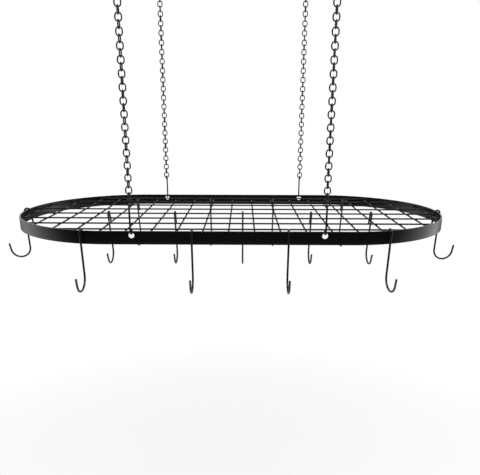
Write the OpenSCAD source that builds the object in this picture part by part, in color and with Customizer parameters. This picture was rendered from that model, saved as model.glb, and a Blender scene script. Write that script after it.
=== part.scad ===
// Hanging pot rack: an oval steel band with a wire grid inside it, hung from the
// ceiling on four chains, with loose pot hooks on the band and on the grid.
// Origin: middle of the four ceiling screws, on the ceiling's face.
// X is the rack's length, Y its depth (front is -Y), Z is up. All sizes in millimetres.

/* [Band] */
// Overall length of the oval band
rack_length = 940; // [700:5:1200]
// Overall depth of the oval band, front to back
rack_depth = 420; // [340:5:560]
// Height of the flat strip
band_height = 26; // [22:0.5:40]
// Thickness of the flat strip
band_thick = 3; // [2:0.5:5]
// Length taken up by each rounded end
end_length = 238; // [215:1:300]
// Outer radius of the nose in the middle of each rounded end
nose_radius = 190; // [150:1:205]

/* [Grid] */
// Distance between neighbouring grid wires
mesh_pitch = 50; // [30:1:80]
// Diameter of the grid wire
grid_wire = 3.4; // [2:0.2:5]
// Height of the long wires' middle above the band's lower edge
long_wire_height = 21.6; // [12:0.1:30]

/* [Hanging gear] */
// Distance between the left and right chains
hole_spacing = 362; // [250:1:460]
// Diameter of the four holes in the band
hole_diameter = 11; // [8:0.5:14]
// Height of the holes' middle above the band's lower edge
hole_height = 17.5; // [12:0.5:30]
// Number of links in each chain, an odd number
chain_links = 43; // [9:2:81]
// Distance from one chain link to the next
link_pitch = 11.15; // [8:0.05:20]
// Inside width of a chain link
link_inner_width = 8.7; // [6:0.1:14]
// Diameter of the chain wire
link_wire = 2.5; // [2:0.25:4]
// Diameter of the wire of the hanger hooks
hanger_wire = 3.6; // [2.5:0.1:5]
// Inside radius of both bends of the hanger hooks
hanger_inner_radius = 4.2; // [3.5:0.1:8]
// Distance between the middles of the two bends
hanger_span = 44; // [25:0.5:120]
// How far round each bend of the hanger hooks goes
hanger_bend = 190; // [150:1:225]

/* [Ceiling hooks] */
// Diameter of the ceiling hook's wire, which is also its screw's
screw_wire = 4.5; // [3.5:0.1:6]
// Length of the screw above the ceiling's face
screw_length = 25; // [12:1:60]
// Radius of the hook's open ring, at the wire's middle
ring_radius = 9; // [7:0.5:16]
// Radius of the bend between shank and ring
neck_radius = 6; // [4:0.5:12]
// Diameter of the collar that meets the ceiling
collar_diameter = 15; // [9:0.5:30]
// Thickness of the collar
collar_thick = 2; // [1:0.25:5]
// Straight shank between collar and bend
shank_length = 7; // [2:0.5:40]

/* [Pot hooks] */
// Diameter of the pot hooks' wire
hook_wire = 4; // [3:0.25:6]
// Inside radius of the narrow bend that rides on the band or wire
saddle_inner_radius = 4; // [3.5:0.25:8]
// Length of the short leg behind the band
leg_length = 28; // [15:1:60]
// How far the short leg flares
leg_flare = 6; // [0:1:20]
// Length of the long straight shank
hook_shank = 86.5; // [50:0.5:160]
// Radius of the wide bend, at the wire's middle
crook_radius = 21.5; // [12:0.5:40]
// How far before upright the wide bend ends
crook_short = 8; // [0:1:30]
// Length of the straight tip
tip_length = 16; // [4:0.5:40]
// Lean of the front hooks towards the rack
front_hook_lean = 4; // [0:0.5:5]
// Lean of the two end hooks towards the rack
end_hook_lean = 2; // [0:0.5:5]
// Places of the front hooks along the rack
front_hook_x = [-277, -68, 113, 305];
// Turn of each front hook about the vertical
front_hook_turn = [0, 0, 0, 5];
// Places of the middle row's hooks along the rack
middle_hook_x = [-276, -126, 27, 181, 316];
// Places of the rear row's hooks along the rack
rear_hook_x = [-244, -56, 105, 283];
// Places of the left and right end hooks, front to back
end_hook_y = [-8, -16];
// Turn of the left and right end hooks about the vertical
end_hook_turn = [8, 4];

/* [Hidden] */
$fn = 64;
arc_steps = 24;     // straight steps in each arc of the band
gap = 0.3;          // running gap between two loose pieces
weld_gap = 0.1;     // gap between two pieces of the welded frame
hole_gap = 0.35;    // gap between a hanger hook and the strip above its hole
saddle_gap = 0.8;   // gap between a pot hook's bend and the band's top edge
seam = 0.02;        // a straight run stops this short of a bend, inside their joint
joint_proud = 0.05; // how far the joint stands out round the wire

// Oval: straight sides, a shoulder arc on each side of each end, and a nose arc.
half_depth = rack_depth / 2;
shoulder_x = rack_length / 2 - end_length;
nose_x = rack_length / 2 - nose_radius;
shoulder_radius = (pow(end_length, 2) + pow(half_depth, 2) - 2 * end_length * nose_radius)
  / (2 * (half_depth - nose_radius));
shoulder_y = shoulder_radius - half_depth;
nose_half = atan2(shoulder_y, nose_x - shoulder_x);
nose_mid = nose_radius - band_thick / 2;
shoulder_mid = shoulder_radius - band_thick / 2;
side_mid = half_depth - band_thick / 2;

// Heights, from the ceiling down.
ring_z = -collar_thick - shank_length - neck_radius - ring_radius;
link_inner = link_pitch + gap;
link_radius = (link_inner_width + link_wire) / 2;
link_straight = link_inner - link_inner_width;
top_link_z = ring_z - ring_radius + screw_wire / 2 + gap - link_inner / 2;
last_link_z = top_link_z - (chain_links - 1) * link_pitch;
hanger_radius = hanger_inner_radius + hanger_wire / 2;
hanger_top_z = last_link_z - link_inner / 2 + gap - hanger_inner_radius;
hanger_low_z = hanger_top_z - hanger_span;
hole_top_z = hanger_low_z + hole_gap - sqrt(pow(hanger_inner_radius, 2) - pow(band_thick / 2, 2));
band_z = hole_top_z - hole_diameter / 2 - hole_height;
long_wire_z = band_z + long_wire_height;
cross_wire_z = long_wire_z - grid_wire - weld_gap;
screw_y = side_mid + neck_radius;

// Pot hook: its own centre of gravity sets the angle at which a free one hangs.
saddle_radius = saddle_inner_radius + hook_wire / 2;
band_saddle_z = band_z + band_height + saddle_gap - saddle_inner_radius;
wire_saddle_z = long_wire_z + grid_wire / 2 + gap - saddle_inner_radius;
saddle_sweep = 180 - leg_flare;
crook_sweep = 180 - crook_short;
leg_start = [-saddle_radius * cos(leg_flare), saddle_radius * sin(leg_flare)];
leg_dir = [-sin(leg_flare), -cos(leg_flare)];
crook_c = [saddle_radius + crook_radius, -hook_shank];
tip_start = crook_c + crook_radius * [cos(crook_short), -sin(crook_short)];
tip_dir = [sin(crook_short), cos(crook_short)];
function arc_len(r, sweep) = r * sweep * PI / 180;
function arc_mid(r, from, sweep) = r * 180 / (PI * sweep)
  * [sin(from + sweep) - sin(from), cos(from) - cos(from + sweep)];
piece_len = [arc_len(saddle_radius, saddle_sweep), leg_length, hook_shank,
  arc_len(crook_radius, crook_sweep), tip_length];
piece_mid = [arc_mid(saddle_radius, 0, saddle_sweep), leg_start + leg_dir * leg_length / 2,
  [saddle_radius, -hook_shank / 2], crook_c + arc_mid(crook_radius, 180, crook_sweep),
  tip_start + tip_dir * tip_length / 2];
hook_len = piece_len * [1, 1, 1, 1, 1];
hook_cg = (piece_len * piece_mid) / hook_len;
free_hang = atan2(hook_cg[0], -hook_cg[1]);

// Half length of a grid wire that ends at the band's inner face.
function inner_x(y) = y < (nose_radius - band_thick) * sin(nose_half)
  ? nose_x + sqrt(pow(nose_radius - band_thick, 2) - y * y)
  : shoulder_x + sqrt(pow(shoulder_radius - band_thick, 2) - pow(y + shoulder_y, 2));
function inner_y(x) = x < shoulder_x ? half_depth - band_thick
  : x < nose_x + (nose_radius - band_thick) * cos(nose_half)
  ? sqrt(pow(shoulder_radius - band_thick, 2) - pow(x - shoulder_x, 2)) - shoulder_y
  : sqrt(pow(nose_radius - band_thick, 2) - pow(x - nose_x, 2));
long_side = floor((half_depth - band_thick - grid_wire) / mesh_pitch + 0.5);
cross_side = floor((rack_length / 2 - band_thick - grid_wire - 2 * hook_wire) / mesh_pitch);

// Middle line of the band: its Y at a place along the front, and its X at a place on an end.
function front_mid_y(x) = abs(x) < shoulder_x ? -side_mid
  : shoulder_y - sqrt(pow(shoulder_mid, 2) - pow(abs(x) - shoulder_x, 2));
function end_mid_x(y) = nose_x + sqrt(pow(nose_mid, 2) - y * y);

black = [0.06, 0.06, 0.065];
dark = [0.09, 0.09, 0.095];

// Bent wire in the XY plane: an arc about the origin, and a straight run.
module wire_arc(r, d, from, sweep) {
  rotate([0, 0, from])
    rotate_extrude(angle = sweep)
      translate([r, 0]) circle(d = d);
}
module wire_run(p, ang, len, d) {
  translate([p[0], p[1], 0])
    rotate([0, 0, ang])
      rotate([0, 90, 0]) cylinder(d = d, h = len);
}
// A straight run between two bends, joined to each.
module joined_run(p, ang, len, d, joints) {
  dir = [cos(ang), sin(ang)];
  wire_run(p + seam * dir, ang, len - joints * seam, d);
  for (k = [0 : joints - 1])
    translate([p[0] + k * len * dir[0], p[1] + k * len * dir[1], 0])
      sphere(d = d + 2 * joint_proud);
}
// Stands a flat bent wire up: its X goes to the heading, its Y goes to world Z.
module stand(heading) {
  rotate([0, 0, heading]) rotate([90, 0, 0]) children();
}

// Outline of the oval, drawn in by an inset: one quarter, and its mirror images.
function arc_points(c, r, from, to) =
  [for (k = [0 : arc_steps]) c + r * [cos(from + (to - from) * k / arc_steps), sin(from + (to - from) * k / arc_steps)]];
function quarter(inset) = concat(
  arc_points([nose_x, 0], nose_radius - inset, 0, nose_half),
  [for (k = [1 : arc_steps]) arc_points([shoulder_x, -shoulder_y], shoulder_radius - inset, nose_half, 90)[k]]);
function turned(points, sx, sy) = [for (p = points) [sx * p[0], sy * p[1]]];
function backwards(points) = [for (k = [len(points) - 1 : -1 : 1]) points[k]];
function oval(inset) = concat(
  quarter(inset), backwards(turned(quarter(inset), -1, 1)),
  turned(quarter(inset), -1, -1), backwards(turned(quarter(inset), 1, -1)));

module oval_band() {
  color(black)
  translate([0, 0, band_z])
  difference() {
    linear_extrude(height = band_height)
      difference() {
        polygon(oval(0));
        polygon(oval(band_thick));
      }
    for (sx = [-1, 1])
      for (sy = [-1, 1])
        translate([sx * hole_spacing / 2, sy * side_mid, hole_height])
          rotate([90, 0, 0]) cylinder(d = hole_diameter, h = 3 * band_thick, center = true);
  }
}
module grid_long_wires() {
  color(black)
  for (k = [1 : long_side])
    for (s = [-1, 1]) {
      y = (k - 0.5) * mesh_pitch;
      half = inner_x(y + grid_wire / 2) - weld_gap;
      translate([-half, s * y, long_wire_z])
        rotate([0, 90, 0]) cylinder(d = grid_wire, h = 2 * half);
    }
}
module grid_cross_wires() {
  color(black)
  for (k = [-cross_side : cross_side]) {
    x = k * mesh_pitch;
    half = inner_y(abs(x) + grid_wire / 2) - weld_gap;
    translate([x, half, cross_wire_z])
      rotate([90, 0, 0]) cylinder(d = grid_wire, h = 2 * half);
  }
}

// Screw hook, ring in the YZ plane under its shank's inner side; side is -1 front, 1 back.
module ceiling_hook(sx, sy) {
  color(dark)
  translate([sx * hole_spacing / 2, sy * side_mid, 0]) {
    translate([0, 0, ring_z])
      stand(-sy * 90) {
        wire_arc(ring_radius, screw_wire, -195, 285);
        translate([0, ring_radius + neck_radius, 0])
          wire_arc(neck_radius, screw_wire, 180, 90);
      }
    translate([0, sy * neck_radius, 0]) {
      translate([0, 0, -collar_thick - shank_length])
        cylinder(d = screw_wire, h = collar_thick + shank_length + screw_length - screw_wire);
      translate([0, 0, screw_length - screw_wire])
        cylinder(d1 = screw_wire, d2 = screw_wire / 6, h = screw_wire);
      translate([0, 0, -collar_thick]) cylinder(d = collar_diameter, h = collar_thick);
    }
  }
}
// One link about its own middle, long way up, in the plane of the heading.
module link(heading) {
  stand(heading) {
    translate([0, link_straight / 2, 0]) wire_arc(link_radius, link_wire, 0, 180);
    translate([0, -link_straight / 2, 0]) wire_arc(link_radius, link_wire, 180, 180);
    for (s = [-1, 1])
      wire_run([s * link_radius, -link_straight / 2], 90, link_straight, link_wire);
  }
}
module top_link(sx, sy) {
  color(black)
  translate([sx * hole_spacing / 2, sy * side_mid, top_link_z]) link(0);
}
module chain(sx, sy) {
  color(black)
  translate([sx * hole_spacing / 2, sy * side_mid, top_link_z])
    for (k = [1 : chain_links - 1])
      translate([0, 0, -k * link_pitch]) link(90 * (k % 2));
}
// Hanger hook: its upper bend takes the last link, its lower bend goes in from outside.
module hanger_hook(sx, sy) {
  color(black)
  translate([sx * hole_spacing / 2, sy * side_mid, hanger_top_z])
    stand(sy * 90) {
      wire_arc(hanger_radius, hanger_wire, 0, hanger_bend);
      translate([0, -hanger_span, 0])
        mirror([0, 1, 0]) wire_arc(hanger_radius, hanger_wire, 0, hanger_bend);
      wire_run([hanger_radius, -hanger_span], 90, hanger_span, hanger_wire);
    }
}
// Pot hook about the middle of its narrow bend; X points out to the wide bend.
module pot_hook(lean) {
  rotate([0, 0, -lean]) {
    wire_arc(saddle_radius, hook_wire, 0, saddle_sweep);
    joined_run(leg_start, 270 - leg_flare, leg_length, hook_wire, 1);
    joined_run([saddle_radius, 0], -90, hook_shank, hook_wire, 2);
    translate([crook_c[0], crook_c[1], 0])
      wire_arc(crook_radius, hook_wire, 180, crook_sweep);
    joined_run(tip_start, 90 - crook_short, tip_length, hook_wire, 1);
  }
}
module front_hook(k) {
  color(dark)
  translate([front_hook_x[k], front_mid_y(front_hook_x[k]), band_saddle_z])
    stand(-90 + front_hook_turn[k]) pot_hook(front_hook_lean);
}
module end_hook(k, s) {
  color(dark)
  translate([s * end_mid_x(end_hook_y[k]), end_hook_y[k], band_saddle_z])
    stand(90 - s * 90 + end_hook_turn[k]) pot_hook(end_hook_lean);
}
module grid_hook(x, y) {
  color(dark)
  translate([x, y, wire_saddle_z]) stand(-90) pot_hook(free_hang);
}
module middle_hook(k) {
  grid_hook(middle_hook_x[k], -mesh_pitch / 2);
}
module rear_hook(k) {
  grid_hook(rear_hook_x[k], 2.5 * mesh_pitch);
}

oval_band();
grid_long_wires();
grid_cross_wires();
ceiling_hook(-1, -1);  // ceiling_hook_fl
ceiling_hook(1, -1);  // ceiling_hook_fr
ceiling_hook(-1, 1);  // ceiling_hook_bl
ceiling_hook(1, 1);  // ceiling_hook_br
top_link(-1, -1);  // top_link_fl
top_link(1, -1);  // top_link_fr
top_link(-1, 1);  // top_link_bl
top_link(1, 1);  // top_link_br
chain(-1, -1);  // chain_fl
chain(1, -1);  // chain_fr
chain(-1, 1);  // chain_bl
chain(1, 1);  // chain_br
hanger_hook(-1, -1);  // hanger_hook_fl
hanger_hook(1, -1);  // hanger_hook_fr
hanger_hook(-1, 1);  // hanger_hook_bl
hanger_hook(1, 1);  // hanger_hook_br
front_hook(0);  // front_hook_1
front_hook(1);  // front_hook_2
front_hook(2);  // front_hook_3
front_hook(3);  // front_hook_4
end_hook(0, -1);  // left_end_hook
end_hook(1, 1);  // right_end_hook
middle_hook(0);  // middle_hook_1
middle_hook(1);  // middle_hook_2
middle_hook(2);  // middle_hook_3
middle_hook(3);  // middle_hook_4
middle_hook(4);  // middle_hook_5
rear_hook(0);  // rear_hook_1
rear_hook(1);  // rear_hook_2
rear_hook(2);  // rear_hook_3
rear_hook(3);  // rear_hook_4
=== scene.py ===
"""Hanging pot rack: an oval steel band with a welded wire grid, four chains and loose hooks.

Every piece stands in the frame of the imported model: the origin is in the middle of the four
ceiling screws, on the ceiling's face, with X along the rack, the front towards -Y and Z up.
The rack's sizes are in millimetres, as a workshop drawing gives them. Meshes and studio are
in metres.
"""

import logging
from collections.abc import Callable, Iterable, Sequence
from dataclasses import dataclass, field
from enum import Enum
from functools import cache
from math import atan2, cos, pi, radians, sin, sqrt

import bmesh
import bpy
from mathutils import Matrix, Vector


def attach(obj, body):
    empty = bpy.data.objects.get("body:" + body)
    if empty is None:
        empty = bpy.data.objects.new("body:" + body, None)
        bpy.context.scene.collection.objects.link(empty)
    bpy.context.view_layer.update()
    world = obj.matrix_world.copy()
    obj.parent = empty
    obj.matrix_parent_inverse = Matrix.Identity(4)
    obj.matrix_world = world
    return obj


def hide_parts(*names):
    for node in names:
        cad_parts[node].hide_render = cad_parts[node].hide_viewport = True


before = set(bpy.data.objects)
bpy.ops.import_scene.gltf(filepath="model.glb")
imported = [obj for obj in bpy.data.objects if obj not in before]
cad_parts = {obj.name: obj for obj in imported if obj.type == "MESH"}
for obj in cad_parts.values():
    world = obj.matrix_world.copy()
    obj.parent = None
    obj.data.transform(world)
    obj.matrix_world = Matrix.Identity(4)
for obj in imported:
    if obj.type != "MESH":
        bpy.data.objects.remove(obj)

LOG = logging.getLogger("pot_rack")
MM = 0.001
QUARTER_TURN = pi / 2

Object = bpy.types.Object
Mesh = bpy.types.Mesh
Socket = bpy.types.NodeSocket
Node = bpy.types.Node
Tree = bpy.types.NodeTree
Point = tuple[float, float]
Triple = tuple[float, float, float]
Ramp = tuple[float, float, float, float]


# ---- choices

class Slot(Enum):
    """Material slots of the record, one for each kind of piece."""

    BAND = "band_black"
    GRID = "grid_black"
    CHAIN = "chain_black"
    HANGER = "hanger_hook_black"
    POT_HOOK = "pot_hook_black"
    CEILING = "ceiling_hook_black"


class Corner(Enum):
    """The four hanging points: the tag of their nodes and bodies, and their sides."""

    FRONT_LEFT = ("fl", -1, -1)
    FRONT_RIGHT = ("fr", 1, -1)
    BACK_LEFT = ("bl", -1, 1)
    BACK_RIGHT = ("br", 1, 1)

    def __init__(self, tag: str, side_x: int, side_y: int) -> None:
        """Takes -1 for left and front, and 1 for right and back."""
        self.tag, self.side_x, self.side_y = tag, side_x, side_y


# ---- node trees

class Wiring:
    """Adds nodes to a tree. An input takes a socket, a node's first output or a plain value."""

    def __init__(self, tree: Tree) -> None:
        """Takes up a tree that exists."""
        self.tree = tree

    def fill(self, node: Node, inputs: dict[str | int, object]) -> Node:
        """Fills some inputs of a node.

        Args:
            node: the node.
            inputs: sockets or nodes to link, or plain values, by input name or number.

        Returns:
            The same node.
        """
        for label, value in inputs.items():
            if isinstance(value, Node):
                value = value.outputs[0]
            if isinstance(value, Socket):
                self.tree.links.new(value, node.inputs[label])
            else:
                node.inputs[label].default_value = value
        return node

    def add(self, kind: str, inputs: dict[str | int, object] | None = None,
            **settings: object) -> Node:
        """Adds a node.

        Args:
            kind: the node's type name.
            inputs: what its inputs are filled with.
            settings: properties of the node itself.

        Returns:
            The new node.
        """
        node = self.tree.nodes.new(kind)
        for label, value in settings.items():
            setattr(node, label, value)
        return self.fill(node, inputs or {})

    def math(self, operation: str, *values: object) -> Node:
        """Adds a Math node."""
        return self.add("ShaderNodeMath", dict(enumerate(values)), operation=operation)

    def noise(self, place: Socket, scale: Socket, detail: float, roughness: float) -> Node:
        """Adds a noise pattern."""
        return self.add("ShaderNodeTexNoise", {"Vector": place, "Scale": scale, "Detail": detail,
                                               "Roughness": roughness})

    def step(self, value: object, start: float, end: float, low: float = 0.0,
             high: float = 1.0) -> Node:
        """Goes smoothly from one number to another.

        Args:
            value: the number that is looked at.
            start: where the result begins to change.
            end: where it stops.
            low: the result at the start.
            high: the result at the end.

        Returns:
            The node.
        """
        return self.add("ShaderNodeMapRange",
                        {"Value": value, "From Min": start, "From Max": end, "To Min": low,
                         "To Max": high}, interpolation_type="SMOOTHSTEP")


class Group(Wiring):
    """A node group, built from its named inputs to its named outputs."""

    def __init__(self, name: str, kind: str) -> None:
        """Starts an empty group of a tree type."""
        super().__init__(bpy.data.node_groups.new(name, kind))
        self.source = self.tree.nodes.new("NodeGroupInput")

    def take(self, name: str, kind: str = "Float") -> Socket:
        """Adds a named input and returns its socket inside the group."""
        self.tree.interface.new_socket(name, in_out="INPUT", socket_type="NodeSocket" + kind)
        return self.source.outputs[name]

    def numbers(self, *names: str) -> list[Socket]:
        """Adds several inputs that are numbers."""
        return [self.take(name) for name in names]

    def give(self, kind: str, **results: "Socket | Node") -> Tree:
        """Closes the group.

        Args:
            kind: socket type of the results.
            results: what goes out, by name.

        Returns:
            The finished tree.
        """
        for name in results:
            self.tree.interface.new_socket(name, in_out="OUTPUT", socket_type="NodeSocket" + kind)
        self.fill(self.tree.nodes.new("NodeGroupOutput"), results)
        return self.tree


# ---- finishes

FINE_GRAIN, COARSE_GRAIN, WORN_GRAIN = (3.0, 0.55), (2.0, 0.5), (4.0, 0.6)  # detail, roughness
COARSE_IN_HEIGHT = 0.6
COARSE_IN_MOTTLE, FINE_IN_MOTTLE = 0.7, 0.3
WORN_FROM, WORN_TO = 0.35, 0.95


@cache
def orange_peel() -> Tree:
    """Fine bumps of a baked powder coat.

    Returns:
        A group with inputs Position, Fine and Coarse, and outputs Height and Mottle.
    """
    group = Group("orange_peel", "ShaderNodeTree")
    place = group.take("Position", "Vector")
    fine = group.noise(place, group.take("Fine"), *FINE_GRAIN)
    coarse = group.noise(place, group.take("Coarse"), *COARSE_GRAIN)
    height = group.math("MULTIPLY_ADD", coarse, COARSE_IN_HEIGHT, fine)
    mottle = group.math("MULTIPLY_ADD", coarse, COARSE_IN_MOTTLE,
                        group.math("MULTIPLY", fine, FINE_IN_MOTTLE))
    return group.give("Float", Height=height, Mottle=mottle)


@cache
def rubbed_contact() -> Tree:
    """Polished patches where metal rides on metal.

    Returns:
        A group with inputs Position, Rub and Break up, and the output Mask.
    """
    group = Group("rubbed_contact", "ShaderNodeTree")
    place = group.take("Position", "Vector")
    rub, break_up = group.numbers("Rub", "Break up")
    patches = group.math("SUBTRACT", group.noise(place, break_up, *WORN_GRAIN), 0.5)
    mask = group.step(group.math("ADD", rub, patches), WORN_FROM, WORN_TO)
    return group.give("Float", Mask=mask)


@dataclass(frozen=True)
class PowderCoat:
    """Black powder coat baked on steel: satin, with orange peel and polished contact patches."""

    name: str
    dark: Triple = (0.0012, 0.0012, 0.0013)
    pale: Triple = (0.0026, 0.0026, 0.0027)
    rubbed: Triple = (0.016, 0.0155, 0.015)
    roughness_low: float = 0.27
    roughness_high: float = 0.36
    roughness_rubbed: float = 0.2
    specular: float = 0.5
    fine_bumps: float = 1500.0
    coarse_bumps: float = 420.0
    break_up: float = 900.0
    bump_height: float = 0.00004
    bump_strength: float = 0.35

    def material(self) -> bpy.types.Material:
        """Builds the material.

        Returns:
            A node material on Object coordinates that also reads the attribute rub.
        """
        made = bpy.data.materials.new(self.name)
        made.use_nodes = True
        net = Wiring(made.node_tree)
        place = net.add("ShaderNodeTexCoord").outputs["Object"]
        rub = net.add("ShaderNodeAttribute", attribute_name="rub").outputs["Fac"]
        peel = net.add("ShaderNodeGroup", {"Position": place, "Fine": self.fine_bumps,
                                           "Coarse": self.coarse_bumps},
                       node_tree=orange_peel()).outputs
        worn = net.add("ShaderNodeGroup", {"Position": place, "Rub": rub,
                                           "Break up": self.break_up},
                       node_tree=rubbed_contact()).outputs["Mask"]
        coat = self._blend(net, "RGBA", peel["Mottle"], (*self.dark, 1), (*self.pale, 1))
        satin = self._blend(net, "FLOAT", peel["Mottle"], self.roughness_low, self.roughness_high)
        bump = net.add("ShaderNodeBump", {"Strength": self.bump_strength,
                                          "Distance": self.bump_height, "Height": peel["Height"]})
        net.fill(net.tree.nodes["Principled BSDF"], {
            "Base Color": self._blend(net, "RGBA", worn, coat, (*self.rubbed, 1)),
            "Roughness": self._blend(net, "FLOAT", worn, satin, self.roughness_rubbed),
            "Specular IOR Level": self.specular, "Normal": bump})
        return made

    @staticmethod
    def _blend(net: Wiring, kind: str, factor: Socket, low: object, high: object) -> Socket:
        """Mixes two colours or two numbers.

        Args:
            net: the material's tree.
            kind: RGBA or FLOAT.
            factor: the mask.
            low: what shows where the mask is 0.
            high: what shows where it is 1.

        Returns:
            The mixed colour or number.
        """
        node = net.add("ShaderNodeMix", data_type=kind)
        suffix = "_Color" if kind == "RGBA" else "_Float"
        slots = [slot.identifier for slot in node.inputs]
        net.fill(node, {slots.index("Factor_Float"): factor, slots.index("A" + suffix): low,
                        slots.index("B" + suffix): high})
        return next(slot for slot in node.outputs if slot.identifier == "Result" + suffix)


FINISHES: dict[Slot, PowderCoat] = {
    Slot.BAND: PowderCoat("band_coat"),
    Slot.GRID: PowderCoat("grid_coat", roughness_low=0.3, roughness_high=0.42, specular=0.28),
    Slot.CHAIN: PowderCoat("chain_coat", roughness_low=0.24, coarse_bumps=600.0, specular=0.36),
    Slot.HANGER: PowderCoat("hanger_coat", roughness_low=0.25, roughness_high=0.34,
                            specular=0.36),
    Slot.POT_HOOK: PowderCoat("pot_hook_coat", roughness_low=0.16, roughness_high=0.25),
    Slot.CEILING: PowderCoat("ceiling_hook_coat", roughness_low=0.26),
}


@cache
def finish_of(slot: Slot) -> bpy.types.Material:
    """The material of a slot, built once."""
    return FINISHES[slot].material()


# ---- forms

LINK_SEED, BEAD_SEED = 41, 7
THIN_SIDES = 6                      # sides of a link's wire and of the thread's ridge
TOP_EDGE_RUB = 0.45
CROWN_FROM, CROWN_TO = 0.72, 0.98   # where a link is rubbed, in shares of its half length
BEND_SHARPNESS = 9.0                # how near its middle a link's ring is pulled apart
SEAM_REACH = 0.1 * MM               # how near its middle a link's weld is
THREAD_FADE, THREAD_END = 0.05, 0.15
CAP_ANGLES = (87, 70, 50, 28, 0)    # rings of a wire's round end, in degrees
SAME_POINT = 1e-4                   # points of a path nearer than this, in mm, are one


class Form(Group):
    """A Geometry Nodes tree that ends in Realize Instances and Set Material."""

    def __init__(self, name: str) -> None:
        """Starts an empty tree with its geometry and finish inputs.

        Args:
            name: the tree's name.
        """
        super().__init__(name, "GeometryNodeTree")
        self.base = self.take("Geometry", "Geometry")
        self.coat = self.take("Finish", "Material")

    def vector(self, **parts: object) -> Node:
        """Puts a vector together from its parts X, Y and Z."""
        return self.add("ShaderNodeCombineXYZ", parts)

    def position(self) -> bpy.types.NodeOutputs:
        """The parts X, Y and Z of each point's place."""
        return self.add("ShaderNodeSeparateXYZ",
                        {0: self.add("GeometryNodeInputPosition")}).outputs

    def stray(self, seed: int) -> Socket:
        """A random number from 0 to 1 for each point."""
        return self.add("FunctionNodeRandomValue", {"Seed": seed}, data_type="FLOAT").outputs[1]

    def mark(self, shape: Node, rub: Node) -> Node:
        """Stores how rubbed each point is."""
        return self.add("GeometryNodeStoreNamedAttribute",
                        {"Geometry": shape, "Name": "rub", "Value": rub},
                        data_type="FLOAT", domain="POINT")

    def round_bar(self, line: Node, radius: Socket, sides: "Socket | int", scale: Node) -> Node:
        """Sweeps a round section along a line, and closes its ends.

        Args:
            line: the curve.
            radius: the section's radius.
            sides: its number of sides.
            scale: factor on the radius from point to point.

        Returns:
            The node that gives the mesh.
        """
        section = self.add("GeometryNodeCurvePrimitiveCircle",
                           {"Resolution": sides, "Radius": radius})
        return self.add("GeometryNodeCurveToMesh", {"Curve": line, "Profile Curve": section,
                                                    "Scale": scale, "Fill Caps": True})

    def finish(self, shape: Node) -> Tree:
        """Closes the tree with smooth faces, real copies and the finish.

        Args:
            shape: the mesh or the instances.

        Returns:
            The finished tree.
        """
        smooth = self.add("GeometryNodeSetShadeSmooth", {"Geometry": shape})
        real = self.add("GeometryNodeRealizeInstances", {"Geometry": smooth})
        coated = self.add("GeometryNodeSetMaterial", {"Geometry": real, "Material": self.coat})
        return self.give("Geometry", Geometry=coated)


@cache
def bent_wire() -> Tree:
    """Round wire along each polyline of the piece; taper scales it from point to point.

    Returns:
        A tree with the wire's radius and number of sides as inputs.
    """
    form = Form("bent_wire")
    radius, sides = form.take("Wire radius"), form.take("Sides", "Int")
    line = form.add("GeometryNodeMeshToCurve", {"Mesh": form.base})
    taper = form.add("GeometryNodeInputNamedAttribute", {"Name": "taper"}, data_type="FLOAT")
    return form.finish(form.round_bar(line, radius, sides, taper))


@cache
def flat_strip() -> Tree:
    """Strip on edge along a closed line, with rolled edges, drilled twice right through.

    Returns:
        A tree with the sizes of the strip and its holes as inputs.
    """
    form = Form("flat_strip")
    height, thick, edge, bore, reach, depth, hole_up = form.numbers(
        "Height", "Thickness", "Edge radius", "Hole radius", "Hole half spacing",
        "Hole depth", "Hole height")
    line = form.add("GeometryNodeMeshToCurve", {"Mesh": form.base})
    upright = form.add("GeometryNodeSetCurveNormal", {"Curve": line}, mode="Z_UP")
    section = form.add("GeometryNodeCurvePrimitiveQuadrilateral",
                       {"Width": thick, "Height": height})
    rolled = form.add("GeometryNodeFilletCurve",
                      {"Curve": section, "Count": 4, "Radius": edge}, mode="POLY")
    strip = form.add("GeometryNodeCurveToMesh", {"Curve": upright, "Profile Curve": rolled})
    top = form.math("SUBTRACT", form.math("MULTIPLY", height, 0.5), edge)
    on_top = form.math("GREATER_THAN", form.position()["Z"], top)
    marked = form.mark(strip, form.math("MULTIPLY", on_top, TOP_EDGE_RUB))
    drill = form.add("GeometryNodeMeshCylinder", {"Vertices": 40, "Radius": bore, "Depth": depth})
    level = form.add("GeometryNodeTransform", {"Geometry": drill, "Rotation": (QUARTER_TURN, 0, 0)})
    places = form.add("GeometryNodeMeshLine", {
        "Count": 2, "Offset": form.vector(X=form.math("MULTIPLY", reach, 2.0)),
        "Start Location": form.vector(X=form.math("MULTIPLY", reach, -1.0), Z=hole_up)})
    drills = form.add("GeometryNodeInstanceOnPoints", {"Points": places, "Instance": level})
    tools = form.add("GeometryNodeRealizeInstances", {"Geometry": drills})
    return form.finish(form.add("GeometryNodeMeshBoolean", {"Mesh 1": marked, "Mesh 2": tools},
                                operation="DIFFERENCE", solver="EXACT"))


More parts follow.
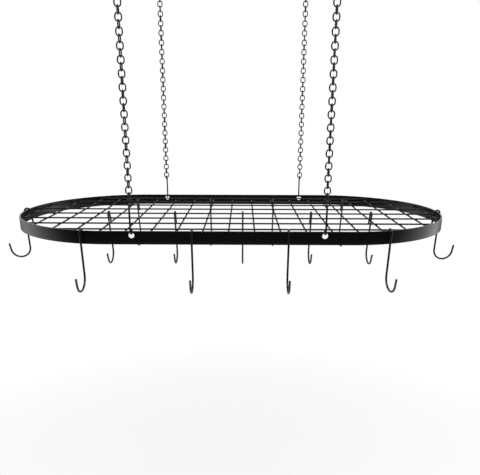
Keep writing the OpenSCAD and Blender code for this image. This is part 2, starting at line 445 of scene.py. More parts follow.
@cache
def link_row() -> Tree:
    """Chain links one under the other, each turned a quarter to the last and a bit askew.

    Returns:
        A tree with the link's sizes, the number of links and the top one's place as inputs.
    """
    form = Form("link_row")
    count, top = form.take("Links", "Int"), form.take("Top", "Vector")
    pitch, bend, wire, straight, first, askew, weld = form.numbers(
        "Pitch", "Bend radius", "Wire radius", "Straight", "First turn", "Askew", "Weld swell")
    ring = form.add("GeometryNodeCurvePrimitiveCircle", {"Resolution": 16, "Radius": bend})
    upright = form.add("GeometryNodeTransform",
                       {"Geometry": ring, "Rotation": (QUARTER_TURN, 0, 0)})
    place, half = form.position(), form.math("MULTIPLY", straight, 0.5)
    pull = form.math("MULTIPLY", form.math("DIVIDE", place["Z"], bend), BEND_SHARPNESS)
    part = form.add("ShaderNodeClamp", {"Value": pull, "Min": -1.0, "Max": 1.0})
    link = form.add("GeometryNodeSetPosition", {
        "Geometry": upright, "Offset": form.vector(Z=form.math("MULTIPLY", part, half))})
    away = form.math("ABSOLUTE", place["Z"])
    worn = form.mark(link, form.add("ShaderNodeMapRange", {
        "Value": form.math("DIVIDE", away, form.math("ADD", bend, half)),
        "From Min": CROWN_FROM, "From Max": CROWN_TO}))
    seam = form.math("MULTIPLY", form.math("LESS_THAN", away, SEAM_REACH),
                     form.math("GREATER_THAN", place["X"], 0.0))
    bar = form.round_bar(worn, wire, THIN_SIDES, form.math("MULTIPLY_ADD", seam, weld, 1.0))
    row = form.add("GeometryNodeMeshLine", {
        "Count": count, "Start Location": top,
        "Offset": form.vector(Z=form.math("MULTIPLY", pitch, -1.0))})
    odd = form.math("FLOORED_MODULO", form.add("GeometryNodeInputIndex"), 2.0)
    quarter = form.math("ADD", form.math("MULTIPLY", odd, QUARTER_TURN), first)
    spread = form.math("MULTIPLY", form.math("SUBTRACT", form.stray(LINK_SEED), 0.5), askew)
    facing = form.add("FunctionNodeEulerToRotation",
                      {"Euler": form.vector(Z=form.math("ADD", quarter, spread))})
    return form.finish(form.add("GeometryNodeInstanceOnPoints", {
        "Points": row, "Instance": bar, "Rotation": facing}))


@cache
def weld_beads() -> Tree:
    """A flattened drop of weld metal on each point of the piece, no two quite alike.

    Returns:
        A tree with the bead's half sizes and their unevenness as inputs.
    """
    form = Form("weld_beads")
    bead, uneven = form.take("Bead", "Vector"), form.take("Unevenness")
    drop = form.add("GeometryNodeMeshUVSphere", {"Segments": 8, "Rings": 5, "Radius": 1.0})
    less = form.math("SUBTRACT", form.stray(BEAD_SEED), 1.0)
    size = form.math("ADD", 1.0, form.math("MULTIPLY", uneven, less))
    scale = form.add("ShaderNodeVectorMath", {0: bead, "Scale": size}, operation="SCALE")
    return form.finish(form.add("GeometryNodeInstanceOnPoints", {
        "Points": form.base, "Instance": drop, "Scale": scale}))


@cache
def screw_thread() -> Tree:
    """A ridge that winds up a screw's core, and fades at both ends.

    Returns:
        A tree with the turns, the core, the length, the ridge and the foot as inputs.
    """
    form = Form("screw_thread")
    turns, core, length, ridge = form.numbers("Turns", "Core radius", "Length", "Ridge")
    foot = form.take("Foot", "Vector")
    coil = form.add("GeometryNodeCurveSpiral", {
        "Resolution": 18, "Rotations": turns, "Start Radius": core, "End Radius": core,
        "Height": length})
    part = form.add("GeometryNodeSplineParameter")
    near = form.math("MINIMUM", part, form.math("SUBTRACT", 1.0, part))
    fade = form.add("ShaderNodeMapRange", {"Value": near, "From Min": 0.0,
                                           "From Max": THREAD_FADE, "To Min": THREAD_END})
    return form.finish(form.add("GeometryNodeTransform", {
        "Geometry": form.round_bar(coil, ridge, THIN_SIDES, fade), "Translation": foot}))


# ---- building tools

def shell_outwards(mesh: Mesh) -> None:
    """Merges doubled points and turns every closed shell's faces outwards.

    Args:
        mesh: the mesh, which is changed.
    """
    shape = bmesh.new()
    shape.from_mesh(mesh)
    bmesh.ops.remove_doubles(shape, verts=shape.verts, dist=1e-6)
    bmesh.ops.recalc_face_normals(shape, faces=shape.faces)
    shape.to_mesh(mesh)
    shape.free()


def place(name: str, data: bpy.types.ID) -> Object:
    """Puts a mesh, a lamp or a camera into the scene.

    Args:
        name: the object's name.
        data: the mesh, lamp or camera.

    Returns:
        The object, at the origin.
    """
    piece = bpy.data.objects.new(name, data)
    bpy.context.scene.collection.objects.link(piece)
    return piece


def grow(name: str, base: Mesh, tree: Tree, slot: Slot, lengths: dict[str, "float | tuple"],
         others: dict[str, float] | None = None) -> Object:
    """Grows a piece with a tree and keeps the result as a plain mesh.

    Args:
        name: the piece's name.
        base: the points or lines that the tree works from.
        tree: one of the forms above.
        slot: the slot whose finish it gets.
        lengths: the tree's inputs that are lengths or places, in millimetres.
        others: its inputs that are counts, angles or shares.

    Returns:
        The finished object, at the origin, with no modifier.
    """
    values = {"Finish": finish_of(slot), **(others or {})}
    for label, size in lengths.items():
        values[label] = tuple(v * MM for v in size) if isinstance(size, tuple) else size * MM
    seed = place(name + "_base", base)
    form = seed.modifiers.new("form", "NODES")
    form.node_group = tree
    for item in tree.interface.items_tree:
        if item.item_type == "SOCKET" and item.in_out == "INPUT" and item.name in values:
            form[item.identifier] = values[item.name]
    depsgraph = bpy.context.evaluated_depsgraph_get()
    mesh = bpy.data.meshes.new_from_object(seed.evaluated_get(depsgraph),
                                           preserve_all_data_layers=True, depsgraph=depsgraph)
    bpy.data.objects.remove(seed)
    mesh.name = name
    shell_outwards(mesh)
    return place(name, mesh)


def grow_wire(name: str, base: Mesh, wire: float, sides: int, slot: Slot) -> Object:
    """Grows round wire of a diameter along the lines of a mesh."""
    return grow(name, base, bent_wire(), slot, {"Wire radius": wire / 2}, {"Sides": sides})


def dress(piece: Object, body: str, slot: Slot, node: str) -> None:
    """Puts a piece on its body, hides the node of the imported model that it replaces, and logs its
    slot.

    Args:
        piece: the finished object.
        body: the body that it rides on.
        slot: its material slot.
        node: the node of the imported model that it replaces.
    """
    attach(piece, body)
    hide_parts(node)
    faces = len(piece.data.polygons)
    LOG.info("%s rides on %s, %d faces, finish %s", piece.name, body, faces, slot.value)


def set_numbers(mesh: Mesh, label: str, values: Sequence[float]) -> None:
    """Gives each point of a mesh a number."""
    mesh.attributes.new(label, "FLOAT", "POINT").data.foreach_set("value", values)


def line_mesh(name: str, lines: Iterable[Sequence[Vector]], closed: bool = False) -> Mesh:
    """Makes a mesh of points joined in lines.

    Args:
        name: the mesh's name.
        lines: the points of each line, in millimetres.
        closed: whether each line comes back to its first point.

    Returns:
        The mesh, in metres.
    """
    points, edges = [], []
    for line in lines:
        first = len(points)
        points += [Vector(p) * MM for p in line]
        edges += [(k, k + 1) for k in range(first, len(points) - 1)]
        if closed:
            edges.append((len(points) - 1, first))
    made = bpy.data.meshes.new(name)
    made.from_pydata(points, edges, [])
    return made


def turned(name: str, outline: Sequence[Point], axis: Vector, slot: Slot,
           sides: int = 40) -> Object:
    """Turns an outline about an upright axis into a closed solid.

    Args:
        name: the piece's name.
        outline: radius and height of each point from top to bottom, both ends on the axis.
        axis: a point of the axis at height 0, in millimetres.
        slot: the slot whose finish it gets.
        sides: number of sides.

    Returns:
        The finished object.
    """
    shape = bmesh.new()
    rings = []
    for radius, height in outline:
        angles = [2 * pi * k / sides for k in range(sides if radius else 1)]
        rings.append([shape.verts.new((axis + Vector(
            (radius * cos(a), radius * sin(a), height))) * MM) for a in angles])
    for upper, lower in zip(rings, rings[1:]):
        for k in range(sides):
            corners = [upper[k % len(upper)], upper[(k + 1) % len(upper)],
                       lower[(k + 1) % len(lower)], lower[k % len(lower)]]
            shape.faces.new(list(dict.fromkeys(corners))).smooth = True
    made = bpy.data.meshes.new(name)
    shape.to_mesh(made)
    shape.free()
    shell_outwards(made)
    made.materials.append(finish_of(slot))
    return place(name, made)


@dataclass(frozen=True)
class Wear:
    """How rubbed a bend is: most at one part of it, and less to both sides."""

    most: float = 1.0
    fade: float = 2.4
    middle: float = 0.5

    def at(self, part: float) -> float:
        """Rub at a part of the bend, from 0 at its start to 1 at its end."""
        return max(0.0, self.most - self.fade * abs(part - self.middle))


@dataclass
class WirePath:
    """Middle line of a bent wire in its own plane, in millimetres, with how rubbed it is."""

    points: list[Point] = field(default_factory=list)
    rub: list[float] = field(default_factory=list)

    def to(self, x: float, y: float, rub: float = 0.0) -> "WirePath":
        """Adds a point.

        Args:
            x: its place in the path's plane.
            y: the same, upwards.
            rub: how rubbed the wire is there.

        Returns:
            The path itself.
        """
        self.points.append((x, y))
        self.rub.append(rub)
        return self

    def run(self, x: float, y: float, steps: int = 1) -> "WirePath":
        """Adds a straight run from the last point to another.

        Args:
            x: the other point's place.
            y: the same, upwards.
            steps: number of equal steps.

        Returns:
            The path itself.
        """
        old_x, old_y = self.points[-1]
        for k in range(1, steps + 1):
            self.to(old_x + (x - old_x) * k / steps, old_y + (y - old_y) * k / steps)
        return self

    def arc(self, centre: Point, radius: float, start: float, end: float, steps: int,
            wear: Wear = Wear(most=0.0)) -> "WirePath":
        """Adds an arc.

        Args:
            centre: middle of the arc.
            radius: radius at the wire's middle.
            start: first angle in degrees.
            end: last angle in degrees.
            steps: number of straight steps.
            wear: where the arc is rubbed.

        Returns:
            The path itself.
        """
        for k in range(steps + 1):
            angle = radians(start + (end - start) * k / steps)
            self.to(centre[0] + radius * cos(angle), centre[1] + radius * sin(angle),
                    wear.at(k / steps))
        return self

    def grow(self, name: str, stand: Callable[[Point], Vector], wire: float, sides: int,
             slot: Slot, last_rounded: bool = True) -> Object:
        """Grows the wire, with round ends.

        Args:
            name: the piece's name.
            stand: puts a point of the path's plane in its place, in millimetres.
            wire: the wire's diameter.
            sides: number of sides.
            slot: the slot whose finish it gets.
            last_rounded: False where the last end is hidden and stays square.

        Returns:
            The finished object, which carries the attribute rub.
        """
        rows = [(Vector(p), 1.0, r) for p, r in zip(self.points, self.rub)]
        rows = [row for k, row in enumerate(rows)
                if k == 0 or (row[0] - rows[k - 1][0]).length > SAME_POINT]
        for rounded in (last_rounded, True):
            rows.reverse()
            if rounded:
                rows = self._round_off(rows, wire / 2)
        line = line_mesh(name + "_line", [[stand((row[0].x, row[0].y)) for row in rows]])
        set_numbers(line, "taper", [row[1] for row in rows])
        set_numbers(line, "rub", [row[2] for row in rows])
        return grow_wire(name, line, wire, sides, slot)

    @staticmethod
    def _round_off(rows: list, radius: float) -> list:
        """Cuts the first end back by the wire's radius and closes it with a half ball.

        Args:
            rows: place, taper and rub of each point.
            radius: the wire's radius.

        Returns:
            The rows with their new end.
        """
        left = radius
        while len(rows) > 2 and (rows[1][0] - rows[0][0]).length < left:
            left -= (rows[1][0] - rows[0][0]).length
            rows = rows[1:]
        ahead = (rows[1][0] - rows[0][0]).normalized()
        foot, rub = rows[0][0] + ahead * left, rows[0][2]
        cap = [(foot - ahead * radius * sin(a), cos(a), rub)
               for a in map(radians, CAP_ANGLES)]
        return cap + rows[1:]


# ---- the rack

@dataclass
class OvalBand:
    """The flat steel strip bent to an oval, its drilled holes and its welded joint."""

    length: float = 940.0
    depth: float = 420.0
    height: float = 26.0
    thick: float = 3.0
    end_length: float = 238.0
    nose_radius: float = 190.0
    base: float = -584.673
    edge_radius: float = 0.7
    hole_spacing: float = 362.0
    hole_diameter: float = 11.0
    hole_height: float = 17.5
    hole_break: float = 0.35
    joint_x: float = 25.0
    joint_bead: float = 1.8
    joint_inset: float = 1.2
    joint_sink: float = 0.2
    steps: int = 24

    def __post_init__(self) -> None:
        """Works out the oval's arcs from its sizes."""
        half = self.depth / 2
        self.shoulder_x = self.length / 2 - self.end_length
        self.nose_x = self.length / 2 - self.nose_radius
        self.shoulder_radius = (
            (self.end_length ** 2 + half ** 2 - 2 * self.end_length * self.nose_radius)
            / (2 * (half - self.nose_radius)))
        self.shoulder_y = self.shoulder_radius - half
        self.nose_half = atan2(self.shoulder_y, self.nose_x - self.shoulder_x)
        self.side_mid = half - self.thick / 2

    def hang_point(self, corner: Corner, z: float = 0.0) -> Vector:
        """A place plumb over the strip's middle at a corner's hole, in millimetres."""
        return Vector((corner.side_x * self.hole_spacing / 2, corner.side_y * self.side_mid, z))

    def outline(self, inset: float) -> list[Vector]:
        """Draws the oval.

        Args:
            inset: how far it lies inside the band's outer face.

        Returns:
            Its points, at the strip's middle height.
        """
        nose = ((self.nose_x, 0.0), self.nose_radius - inset, 0.0, self.nose_half)
        shoulder = ((self.shoulder_x, -self.shoulder_y), self.shoulder_radius - inset,
                    self.nose_half, QUARTER_TURN)
        quarter: list[Point] = []
        for centre, radius, start, end in (nose, shoulder):
            for k in range(1 if quarter else 0, self.steps + 1):
                a = start + (end - start) * k / self.steps
                quarter.append((centre[0] + radius * cos(a), centre[1] + radius * sin(a)))
        loop = quarter + [(-x, y) for x, y in reversed(quarter)]
        loop += [(-x, -y) for x, y in quarter[1:]] + [(x, -y) for x, y in quarter[:0:-1]]
        return [Vector((x, y, 0)) for x, y in loop]

    def inner_half(self, place: float, lengthwise: bool) -> float:
        """Half the clear width inside the band.

        Args:
            place: distance from the middle, to the side.
            lengthwise: True for the width along X at a place in Y.

        Returns:
            The distance from the middle to the band's inner face, in millimetres.
        """
        nose, shoulder = self.nose_radius - self.thick, self.shoulder_radius - self.thick
        if lengthwise:
            if place < nose * sin(self.nose_half):
                return self.nose_x + sqrt(nose ** 2 - place ** 2)
            return self.shoulder_x + sqrt(shoulder ** 2 - (place + self.shoulder_y) ** 2)
        if place < self.shoulder_x:
            return self.depth / 2 - self.thick
        if place < self.nose_x + nose * cos(self.nose_half):
            return sqrt(shoulder ** 2 - (place - self.shoulder_x) ** 2) - self.shoulder_y
        return sqrt(nose ** 2 - (place - self.nose_x) ** 2)

    def middle_y(self, x: float) -> float:
        """Finds the strip's middle along the front.

        Args:
            x: a place along the rack.

        Returns:
            The middle's place in Y.
        """
        if abs(x) < self.shoulder_x:
            return -self.side_mid
        radius = self.shoulder_radius - self.thick / 2
        return self.shoulder_y - sqrt(radius ** 2 - (abs(x) - self.shoulder_x) ** 2)

    def middle_x(self, y: float) -> float:
        """X of the strip's middle at a place on the right end."""
        return self.nose_x + sqrt((self.nose_radius - self.thick / 2) ** 2 - y ** 2)

    def build(self) -> list[Object]:
        """Makes the strip and the bead of its welded joint, which is inside at the back.

        Returns:
            Both pieces.
        """
        base = line_mesh("band_line", [self.outline(self.thick / 2)], closed=True)
        strip = grow("band_strip", base, flat_strip(), Slot.BAND, {
            "Height": self.height, "Thickness": self.thick, "Edge radius": self.edge_radius,
            "Hole radius": self.hole_diameter / 2, "Hole half spacing": self.hole_spacing / 2,
            "Hole depth": self.depth * 2, "Hole height": self.hole_height - self.height / 2})
        strip.data.transform(Matrix.Translation((0, 0, (self.base + self.height / 2) * MM)))
        lip = strip.modifiers.new("hole_lip", "BEVEL")
        lip.width, lip.segments, lip.limit_method = self.hole_break * MM, 2, "ANGLE"
        lip.angle_limit, lip.harden_normals = radians(60), True
        foot = Vector((self.joint_x, self.depth / 2 - self.thick + self.joint_sink, self.base))
        line = WirePath().to(0, self.joint_inset).run(0, self.height - self.joint_inset, steps=2)
        seam = line.grow("band_seam_bead", lambda p: foot + Vector((0, 0, p[1])),
                         self.joint_bead, sides=10, slot=Slot.BAND)
        return [strip, seam]


@dataclass
class WireGrid:
    """Long wires over cross wires, spot welded at each crossing and to the band at each end."""

    band: OvalBand
    pitch: float = 50.0
    wire: float = 3.4
    long_height: float = 21.6
    layer_gap: float = 0.1
    cross_side: int = 9
    sides: int = 12
    burial: float = 0.1
    crossing_bead: Triple = (2.1, 2.1, 1.0)
    crossing_clear: float = 2.0
    end_bead: float = 2.0
    end_inset: float = 0.2
    unevenness: float = 0.2

    def __post_init__(self) -> None:
        """Works out the wires' heights and places."""
        self.long_z = self.band.base + self.long_height
        self.cross_z = self.long_z - self.wire - self.layer_gap
        rows = int((self.band.depth / 2 - self.band.thick - self.wire) / self.pitch + 0.5)
        self.long_y = [s * (k + 0.5) * self.pitch for k in range(rows) for s in (-1, 1)]
        self.cross_x = [k * self.pitch for k in range(-self.cross_side, self.cross_side + 1)]

    def ends(self, lengthwise: bool, trim: float, reach: float) -> list[list[Vector]]:
        """Both ends of each wire in one layer.

        Args:
            lengthwise: True for the long wires, False for the cross wires.
            trim: how much nearer to the middle than the wire the band is measured.
            reach: how far the ends go past the band's inner face.

        Returns:
            The end towards -X or -Y and the other end of each wire, in millimetres.
        """
        def half(place: float) -> float:
            """Half the length of the wire at a place."""
            return self.band.inner_half(max(abs(place) - trim, 0.0), lengthwise) + reach

        if lengthwise:
            return [[Vector((s * half(y), y, self.long_z)) for s in (-1, 1)] for y in self.long_y]
        return [[Vector((x, s * half(x), self.cross_z)) for s in (-1, 1)] for x in self.cross_x]

    def build(self) -> list[tuple[Object, str]]:
        """Makes the two layers of wire and their welds.

        Returns:
            Each piece with the node that it stands for.
        """
        pieces = []
        for name, lengthwise in (("long_wires", True), ("cross_wires", False)):
            base = line_mesh(name + "_line", self.ends(lengthwise, self.wire / 2, self.burial))
            set_numbers(base, "taper", [1.0] * len(base.vertices))
            wires = grow_wire(name, base, self.wire, self.sides, Slot.GRID)
            pieces.append((wires, "grid_" + name))
        middle = (self.long_z + self.cross_z) / 2
        crossings = [Vector((x, y, middle)) for x in self.cross_x for y in self.long_y
                     if abs(y) < self.band.inner_half(abs(x) + self.crossing_clear, False)
                     and abs(x) < self.band.inner_half(abs(y) + self.crossing_clear, True)]
        at_band = [end for lengthwise in (True, False)
                   for pair in self.ends(lengthwise, 0.0, -self.end_inset) for end in pair]
        for name, points, bead, node in (
                ("crossing_welds", crossings, self.crossing_bead, "grid_cross_wires"),
                ("band_welds", at_band, (self.end_bead,) * 3, "grid_long_wires")):
            base = bpy.data.meshes.new(name + "_points")
            base.from_pydata([p * MM for p in points], [], [])
            pieces.append((grow(name, base, weld_beads(), Slot.GRID, {"Bead": bead},
                                {"Unevenness": self.unevenness}), node))
        return pieces


@dataclass
class HangingChain:
    """One chain: a top link on the ceiling hook, and the links under it."""

    corner: Corner
    band: OvalBand
    top_z: float = -36.175
    links: int = 43
    pitch: float = 11.15
    play: float = 0.3
    inner_width: float = 8.7
    wire: float = 2.5
    askew: float = radians(7)
    weld_swell: float = 0.13

    def build(self) -> None:
        """Makes and dresses the top link and the chain."""
        for name, node, first, count in (("top_chain_link_", "top_link_", 0, 1),
                                         ("chain_links_", "chain_", 1, self.links - 1)):
            name, node = name + self.corner.tag, node + self.corner.tag
            top = self.band.hang_point(self.corner, self.top_z - first * self.pitch)
            row = grow(name, bpy.data.meshes.new(name + "_base"), link_row(), Slot.CHAIN, {
                "Pitch": self.pitch, "Bend radius": (self.inner_width + self.wire) / 2,
                "Wire radius": self.wire / 2, "Top": tuple(top),
                "Straight": self.pitch + self.play - self.inner_width}, {
                "Links": count, "First turn": QUARTER_TURN * (first % 2),
                "Askew": self.askew if count > 1 else 0.0, "Weld swell": self.weld_swell})
            dress(row, node, Slot.CHAIN, node)


@dataclass
class HangerHook:
    """C-shaped wire between the last link and the band's hole."""

    corner: Corner
    band: OvalBand
    top_z: float = -514.1
    span: float = 44.0
    wire: float = 3.6
    bend_radius: float = 6.0
    bend: float = 190.0
    wear: Wear = Wear()

    def build(self) -> None:
        """Makes and dresses the hook."""
        top = self.band.hang_point(self.corner, self.top_z)
        path = WirePath()
        for middle, start, end in ((0, self.bend, 0), (-self.span, 0, -self.bend)):
            path.arc((0, middle), self.bend_radius, start, end, steps=26, wear=self.wear)
        piece = path.grow("hanger_wire_" + self.corner.tag,
                          lambda p: top + Vector((0, self.corner.side_y * p[0], p[1])),
                          self.wire, sides=14, slot=Slot.HANGER)
        node = "hanger_hook_" + self.corner.tag
        dress(piece, node, Slot.HANGER, node)


@dataclass
class PotHook:
    """Loose hook: a narrow bend that rides on band or wire, a long shank and a wide bend."""

    name: str
    place: Vector
    heading: float
    lean: float
    wire: float = 4.0
    saddle: float = 6.0
    leg: float = 28.0
    flare: float = 6.0
    shank: float = 86.5
    crook: float = 21.5
    crook_short: float = 8.0
    tip: float = 16.0
    saddle_wear: Wear = Wear(fade=2.2)
    crook_wear: Wear = Wear(most=0.9, fade=2.6, middle=0.45)

    def path(self) -> WirePath:
        """Bends the wire from its short leg over the saddle to the tip.

        Returns:
            Its middle line, with X outwards and Y up.
        """
        flare, short = radians(self.flare), radians(self.crook_short)
        start = (-self.saddle * cos(flare), self.saddle * sin(flare))
        line = WirePath().to(start[0] - sin(flare) * self.leg, start[1] - cos(flare) * self.leg)
        line.run(*start, steps=3)
        line.arc((0, 0), self.saddle, 180 - self.flare, 0, steps=20, wear=self.saddle_wear)
        line.run(self.saddle, -self.shank, steps=5)
        line.arc((self.saddle + self.crook, -self.shank), self.crook, 180,
                 360 - self.crook_short, steps=30, wear=self.crook_wear)
        end = line.points[-1]
        return line.run(end[0] + sin(short) * self.tip, end[1] + cos(short) * self.tip, steps=3)

    def build(self) -> None:
        """Makes and dresses the hook."""
        turn, lean = radians(self.heading), radians(-self.lean)

        def stand(p: Point) -> Vector:
            """Leans a point of the flat hook and stands it in its place.

            Args:
                p: the point in the hook's plane.

            Returns:
                The point's place in the rack.
            """
            out = p[0] * cos(lean) - p[1] * sin(lean)
            up = p[0] * sin(lean) + p[1] * cos(lean)
            return self.place + Vector((out * cos(turn), out * sin(turn), up))

        piece = self.path().grow(self.name + "_wire", stand, self.wire, sides=14,
                                 slot=Slot.POT_HOOK)
        dress(piece, self.name, Slot.POT_HOOK, self.name)


@dataclass
class CeilingHook:
    """Screw hook with a collar that meets the ceiling and an open ring under it."""

    corner: Corner
    band: OvalBand
    wire: float = 4.5
    screw: float = 25.0
    ring: float = 9.0
    ring_start: float = -195.0
    neck: float = 6.0
    ring_z: float = -24.0
    above_face: float = 1.0
    collar: float = 14.98
    collar_thick: float = 2.0
    core: float = 1.75
    thread_pitch: float = 1.8
    thread_foot: float = 1.6
    ridge: float = 0.42
    hair: float = 0.05
    wear: Wear = Wear(fade=4.0, middle=0.37)

    def screw_outline(self) -> list[Point]:
        """Radius and height of the screw: its point, its core, and the shank in the collar."""
        full, top, low = self.wire / 2 - self.hair, self.screw, -self.collar_thick / 2
        return [(0, top - self.hair), (0.25, top - 0.4), (self.core, top - self.wire),
                (self.core, 1.4), (full, 0.6), (full, low), (0, low)]

    def collar_outline(self) -> list[Point]:
        """Radius and height of the collar: flat on the ceiling, domed below."""
        half, low = self.collar / 2, -self.collar_thick
        return [(0, 0.0), (half - 0.4, 0.0), (half - 0.1, -0.15), (half, -0.5),
                (half - 0.15, -0.9), (half - 1.2, -1.35), (half - 2.9, -1.7),
                (self.wire / 2 + 0.9, low + 0.02), (0, low)]

    def build(self) -> None:
        """Makes and dresses the bent wire, its screw, its thread and its collar."""
        tag, inwards = self.corner.tag, -self.corner.side_y
        foot = self.band.hang_point(self.corner)
        path = WirePath().arc((0, 0), self.ring, self.ring_start, 90, steps=44, wear=self.wear)
        path.arc((0, self.ring + self.neck), self.neck, -90, -180, steps=12)
        path.run(-self.neck, -self.ring_z + self.above_face)
        wire = path.grow("ceiling_ring_" + tag,
                         lambda p: foot + Vector((0, inwards * p[0], self.ring_z + p[1])),
                         self.wire, sides=16, slot=Slot.CEILING, last_rounded=False)
        axis = foot - Vector((0, inwards * self.neck, 0))
        core = turned("ceiling_screw_" + tag, self.screw_outline(), axis, Slot.CEILING,
                      sides=24)
        length = self.screw - self.wire - self.thread_foot
        thread = grow("ceiling_thread_" + tag, bpy.data.meshes.new("thread"),
                      screw_thread(), Slot.CEILING, {
                          "Core radius": self.core, "Length": length, "Ridge": self.ridge,
                          "Foot": tuple(axis + Vector((0, 0, self.thread_foot)))},
                      {"Turns": length / self.thread_pitch})
        collar = turned("ceiling_collar_" + tag, self.collar_outline(), axis, Slot.CEILING)
        for piece in (wire, core, thread, collar):
            dress(piece, "ceiling_hooks", Slot.CEILING, "ceiling_hook_" + tag)


@dataclass
class PotHookSet:
    """All fifteen pot hooks: on the front of the band, on its ends and in two rows on the grid."""

    band: OvalBand
    grid: WireGrid
    front_x: tuple[float, ...] = (-277, -68, 113, 305)
    front_turn: tuple[float, ...] = (0, 0, 0, 5)
    middle_x: tuple[float, ...] = (-276, -126, 27, 181, 316)
    middle_row: float = -0.5
    rear_x: tuple[float, ...] = (-244, -56, 105, 283)
    rear_row: float = 2.5
    end_y: Point = (-8, -16)
    end_turn: Point = (8, 4)
    front_lean: float = 4.0
    end_lean: float = 2.0
    free_hang: float = 13.4035
    inner_radius: float = 4.0
    band_clear: float = 0.8
    wire_clear: float = 0.3

    def hooks(self) -> list[PotHook]:
        """Works out where every hook hangs.

        Returns:
            The hooks of the front, the ends and the two rows on the grid.
        """
        band, grid = self.band, self.grid
        on_band = band.base + band.height + self.band_clear - self.inner_radius
        on_wire = grid.long_z + grid.wire / 2 + self.wire_clear - self.inner_radius
        made = [PotHook("front_hook_%d" % k, Vector((x, band.middle_y(x), on_band)), turn - 90,
                        self.front_lean)
                for k, (x, turn) in enumerate(zip(self.front_x, self.front_turn), 1)]
        for name, side, y, turn in zip(("left", "right"), (-1, 1), self.end_y, self.end_turn):
            made.append(PotHook(name + "_end_hook", Vector((side * band.middle_x(y), y, on_band)),
                                90 - side * 90 + turn, self.end_lean))
        for name, xs, row in (("middle", self.middle_x, self.middle_row),
                              ("rear", self.rear_x, self.rear_row)):
            made += [PotHook("%s_hook_%d" % (name, k), Vector((x, row * grid.pitch, on_wire)),
                             -90, self.free_hang) for k, x in enumerate(xs, 1)]
        return made

    def build(self) -> None:
        """Makes and dresses every hook."""
        for hook in self.hooks():
            hook.build()


# ---- the studio

@dataclass(frozen=True)
class Softbox:
    """A rectangular lamp that lights surfaces or, if mirrored, only shows in their gloss."""

    name: str
    stand: Triple
    aim: Triple
    width: float
    height: float
    power: float
    mirrored: bool = False

    def build(self) -> None:
        """Hangs the lamp, unseen by the camera."""
        light = bpy.data.lights.new(self.name, "AREA")
        light.shape, light.energy = "RECTANGLE", self.power
        light.size, light.size_y = self.width, self.height
        lamp = place(self.name, light)
        lamp.location = self.stand
        way = Vector(self.aim) - Vector(self.stand)
        lamp.rotation_euler = way.to_track_quat("-Z", "Y").to_euler()
        lamp.visible_camera = False
        lamp.visible_glossy, lamp.visible_diffuse = self.mirrored, not self.mirrored


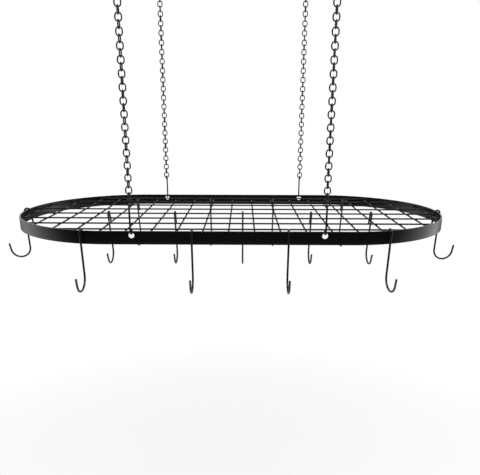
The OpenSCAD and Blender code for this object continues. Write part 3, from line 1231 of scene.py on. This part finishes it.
@dataclass
class Studio:
    """Pale floor, white surroundings, lamps and camera.

    A ramp gives the start and end of a way through the directions, from -1 to 1, and the
    brightness at both; the surroundings that the rack mirrors are four of them multiplied.
    """

    floor_z: float = -2.4
    floor_radius: float = 2.8
    floor_paint: float = 0.9
    floor_roughness: float = 0.8
    floor_grain: float = 60.0
    floor_bump: float = 0.05
    rim_glow: float = 0.32
    light_level: float = 0.55
    front_to_sides: Ramp = (-0.6, 0.15, 0.01, 1.25)
    sides_to_back: Ramp = (0.35, 0.8, 1.0, 0.12)
    floor_to_wall: Ramp = (-0.05, 0.15, 0.0, 1.0)
    wall_to_top: Ramp = (0.35, 0.8, 1.0, 0.1)
    camera_place: Triple = (0.02758, -1.02864, -0.35436)
    camera_yaw: float = radians(-0.381)
    camera_pitch: float = radians(14.761)
    camera_roll: float = radians(0.127)
    lens: float = 34.02
    sensor: float = 36.0
    clip: Point = (0.05, 60.0)
    softboxes: tuple[Softbox, ...] = (
        Softbox("left_box", (-2.1, -0.3, -0.1), (-0.2, 0.0, -0.5), 1.2, 1.8, 26.0),
        Softbox("right_box", (2.1, -0.4, -0.1), (0.2, 0.0, -0.5), 1.2, 1.8, 34.0),
        Softbox("top_box", (0.0, 0.2, 1.9), (0.0, 0.0, -0.5), 2.4, 1.6, 40.0),
        Softbox("front_strip", (0.0, -1.5, 1.1), (0.0, -0.2, -0.56), 1.8, 0.5, 34.0, True),
        Softbox("right_strip", (2.35, 0.75, -1.05), (0.4, -0.1, -0.57), 0.5, 1.4, 2.6, True),
    )

    def build(self) -> None:
        """Sets up everything that isn't part of the rack."""
        self._floor()
        self._world()
        for box in self.softboxes:
            box.build()
        self._camera()
        bpy.context.scene.view_settings.view_transform = "Standard"

    @staticmethod
    def _rays(net: Wiring) -> tuple[Socket, Node]:
        """Tells rays apart.

        Args:
            net: the tree that asks.

        Returns:
            1 on rays from the camera, and 1 on rays that a surface mirrors or lets through.
        """
        path = net.add("ShaderNodeLightPath").outputs
        return path["Is Camera Ray"], net.math("MAXIMUM", path["Is Glossy Ray"],
                                               path["Is Transmission Ray"])

    def _floor(self) -> None:
        """A round pale floor that keeps a soft shadow, and glows a little towards its rim."""
        shape = bmesh.new()
        bmesh.ops.create_circle(shape, cap_ends=True, radius=self.floor_radius, segments=96)
        mesh = bpy.data.meshes.new("floor")
        shape.to_mesh(mesh)
        shape.free()
        mesh.transform(Matrix.Translation((0, 0, self.floor_z)))
        floor = place("floor", mesh)
        material = bpy.data.materials.new("pale_floor")
        material.use_nodes = True
        net = Wiring(material.node_tree)
        grain = net.add("ShaderNodeTexNoise", {"Scale": self.floor_grain})
        paint = net.fill(net.tree.nodes["Principled BSDF"], {
            "Base Color": (*(self.floor_paint,) * 3, 1), "Roughness": self.floor_roughness,
            "Normal": net.add("ShaderNodeBump", {"Strength": self.floor_bump, "Height": grain})})
        flat = net.add("ShaderNodeVectorMath",
                       {0: net.add("ShaderNodeTexCoord").outputs["Object"],
                        1: (1 / self.floor_radius, 1 / self.floor_radius, 0)},
                       operation="MULTIPLY")
        reach = net.add("ShaderNodeVectorMath", {0: flat}, operation="LENGTH").outputs["Value"]
        lift = net.math("MULTIPLY", net.math("POWER", reach, 2.0), self.rim_glow)
        seen = net.math("MAXIMUM", *self._rays(net))
        glow = net.add("ShaderNodeEmission", {"Strength": net.math("MULTIPLY", seen, lift)})
        net.fill(net.tree.nodes["Material Output"],
                 {"Surface": net.add("ShaderNodeAddShader", {0: paint, 1: glow})})
        mesh.materials.append(material)

    def _world(self) -> None:
        """White for the camera, plain grey for the light, and for the rack's gloss a studio.

        The gloss finds bright panels at both sides and a white wall behind above the floor.
        It is dark in front, as behind a camera, dark low at the back, and dim overhead.
        """
        world = bpy.data.worlds.new("studio")
        bpy.context.scene.world = world
        world.use_nodes = True
        world.cycles.sampling_method = "NONE"
        net = Wiring(world.node_tree)
        net.tree.nodes.clear()
        camera, mirrored = self._rays(net)
        way = net.add("ShaderNodeSeparateXYZ",
                      {0: net.add("ShaderNodeTexCoord").outputs["Generated"]}).outputs
        sides = net.step(way["Y"], *self.front_to_sides)
        back = net.math("MAXIMUM", net.step(way["Y"], *self.sides_to_back),
                        net.step(way["Z"], *self.floor_to_wall))
        above = net.step(way["Z"], *self.wall_to_top)
        panels = net.math("MULTIPLY", net.math("MULTIPLY", sides, back), above)
        shown = net.math("MAXIMUM", camera, net.math("MULTIPLY", mirrored, panels))
        unseen = net.math("SUBTRACT", 1.0, net.math("MAXIMUM", camera, mirrored))
        plain = net.math("MULTIPLY", unseen, self.light_level)
        sky = net.add("ShaderNodeBackground", {"Color": (1, 1, 1, 1),
                                               "Strength": net.math("ADD", shown, plain)})
        net.add("ShaderNodeOutputWorld", {"Surface": sky})

    def _camera(self) -> None:
        """The camera at the photograph's place, turned by yaw, pitch and roll."""
        data = bpy.data.cameras.new("camera")
        data.lens, data.sensor_width, data.sensor_fit = self.lens, self.sensor, "HORIZONTAL"
        data.clip_start, data.clip_end = self.clip
        camera = place("camera", data)
        camera.matrix_world = (Matrix.Translation(self.camera_place)
                               @ Matrix.Rotation(-self.camera_yaw, 4, "Z")
                               @ Matrix.Rotation(QUARTER_TURN - self.camera_pitch, 4, "X")
                               @ Matrix.Rotation(self.camera_roll, 4, "Z"))
        bpy.context.scene.camera = camera


def main() -> None:
    """Builds the studio, and the rack from the ceiling down."""
    logging.basicConfig(level=logging.INFO, format="%(name)s: %(message)s")
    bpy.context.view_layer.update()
    Studio().build()
    band = OvalBand()
    grid = WireGrid(band)
    for corner in Corner:
        CeilingHook(corner, band).build()
        HangingChain(corner, band).build()
        HangerHook(corner, band).build()
    for piece in band.build():
        dress(piece, "rack", Slot.BAND, "oval_band")
    for piece, node in grid.build():
        dress(piece, "rack", Slot.GRID, node)
    PotHookSet(band, grid).build()


if __name__ == "__main__":
    main()
